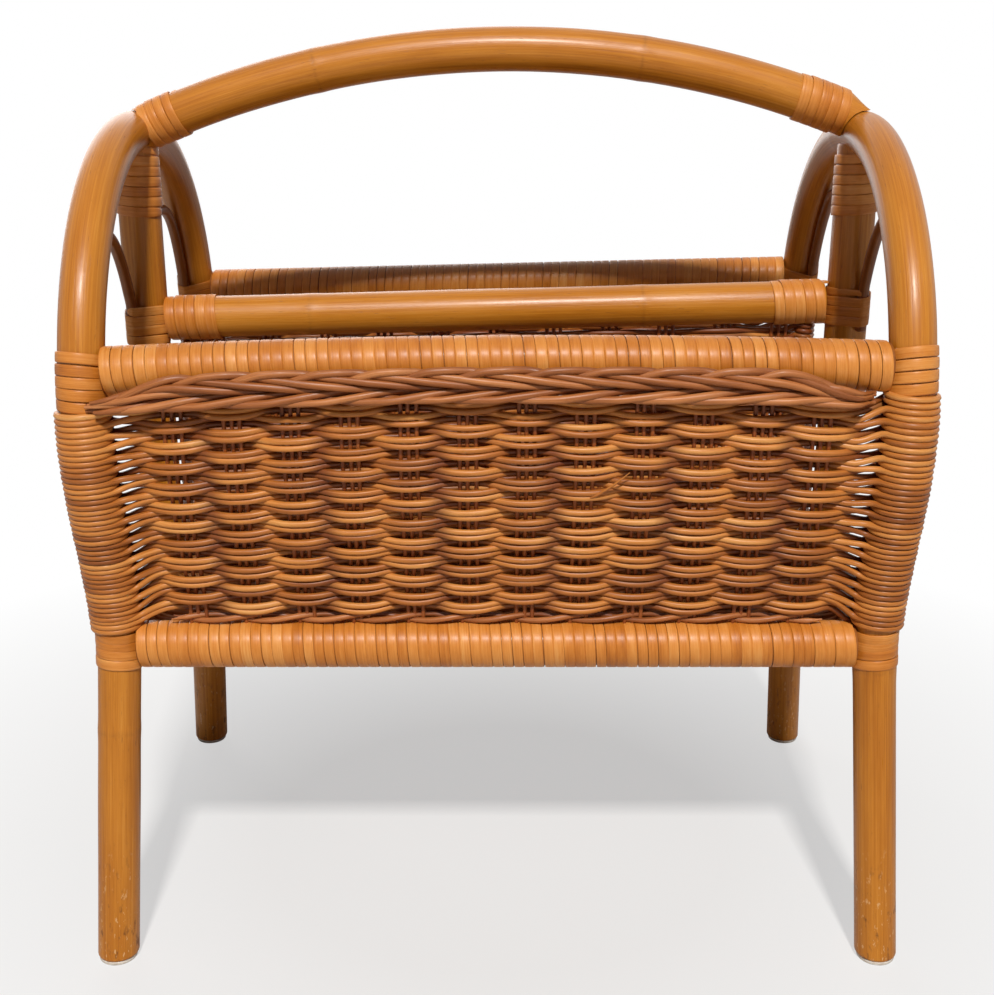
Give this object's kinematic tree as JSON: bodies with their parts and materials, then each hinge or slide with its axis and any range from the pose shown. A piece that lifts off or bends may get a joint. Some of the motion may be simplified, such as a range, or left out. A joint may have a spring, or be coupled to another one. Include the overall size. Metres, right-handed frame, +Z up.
{
  "type": "magazine basket",
  "caption": "Rattan magazine basket: bent pole hoops joined by cane-wrapped rails, woven side panels, a low divider along the middle and an arched carrying handle.",
  "frame": {"origin": "on the floor, under the middle of the basket", "axes": "+Z up, +X along the basket from the left hoop to the right hoop, -Y is the front"},
  "size_m": [0.4524, 0.3129, 0.5033],
  "materials": {
    "pole": "lacquered rattan pole",
    "rod": "thin dark rattan, lacquered",
    "cane": "glossy flat cane strip",
    "reed": "woven reed, satin lacquer",
    "glide": "pale plastic glide",
    "nail": "dull dark nail"
  },
  "bodies": {
    "root": {"left_hoop": "pole", "left_bottom_stretcher": "pole", "left_center_post": "pole", "left_handle_nail": "nail", "left_handle_cane": "cane", "left_divider_cane": "cane", "left_post_top_cane": "cane", "left_post_middle_cane": "cane", "left_front_thin_arch": "rod", "front_left_glide": "glide", "front_left_rim_cane": "cane", "front_left_waist_cane": "cane", "front_left_pole_reed": "reed", "left_back_thin_arch": "rod", "back_left_glide": "glide", "back_left_rim_cane": "cane", "back_left_waist_cane": "cane", "back_left_pole_reed": "reed", "right_hoop": "pole", "right_bottom_stretcher": "pole", "right_center_post": "pole", "right_handle_nail": "nail", "right_handle_cane": "cane", "right_divider_cane": "cane", "right_post_top_cane": "cane", "right_post_middle_cane": "cane", "right_front_thin_arch": "rod", "front_right_glide": "glide", "front_right_rim_cane": "cane", "front_right_waist_cane": "cane", "front_right_pole_reed": "reed", "right_back_thin_arch": "rod", "back_right_glide": "glide", "back_right_rim_cane": "cane", "back_right_waist_cane": "cane", "back_right_pole_reed": "reed", "front_top_rail": "pole", "front_bottom_rail": "pole", "front_top_rail_cane": "cane", "front_bottom_rail_cane": "cane", "front_panel": "reed", "front_braid": "reed", "front_bottom_twist": "reed", "back_top_rail": "pole", "back_bottom_rail": "pole", "back_top_rail_cane": "cane", "back_bottom_rail_cane": "cane", "back_panel": "reed", "back_braid": "reed", "back_bottom_twist": "reed", "handle": "pole", "divider_rail": "pole", "floor_panel": "reed", "divider_panel": "reed"}
  },
  "joints": []
}
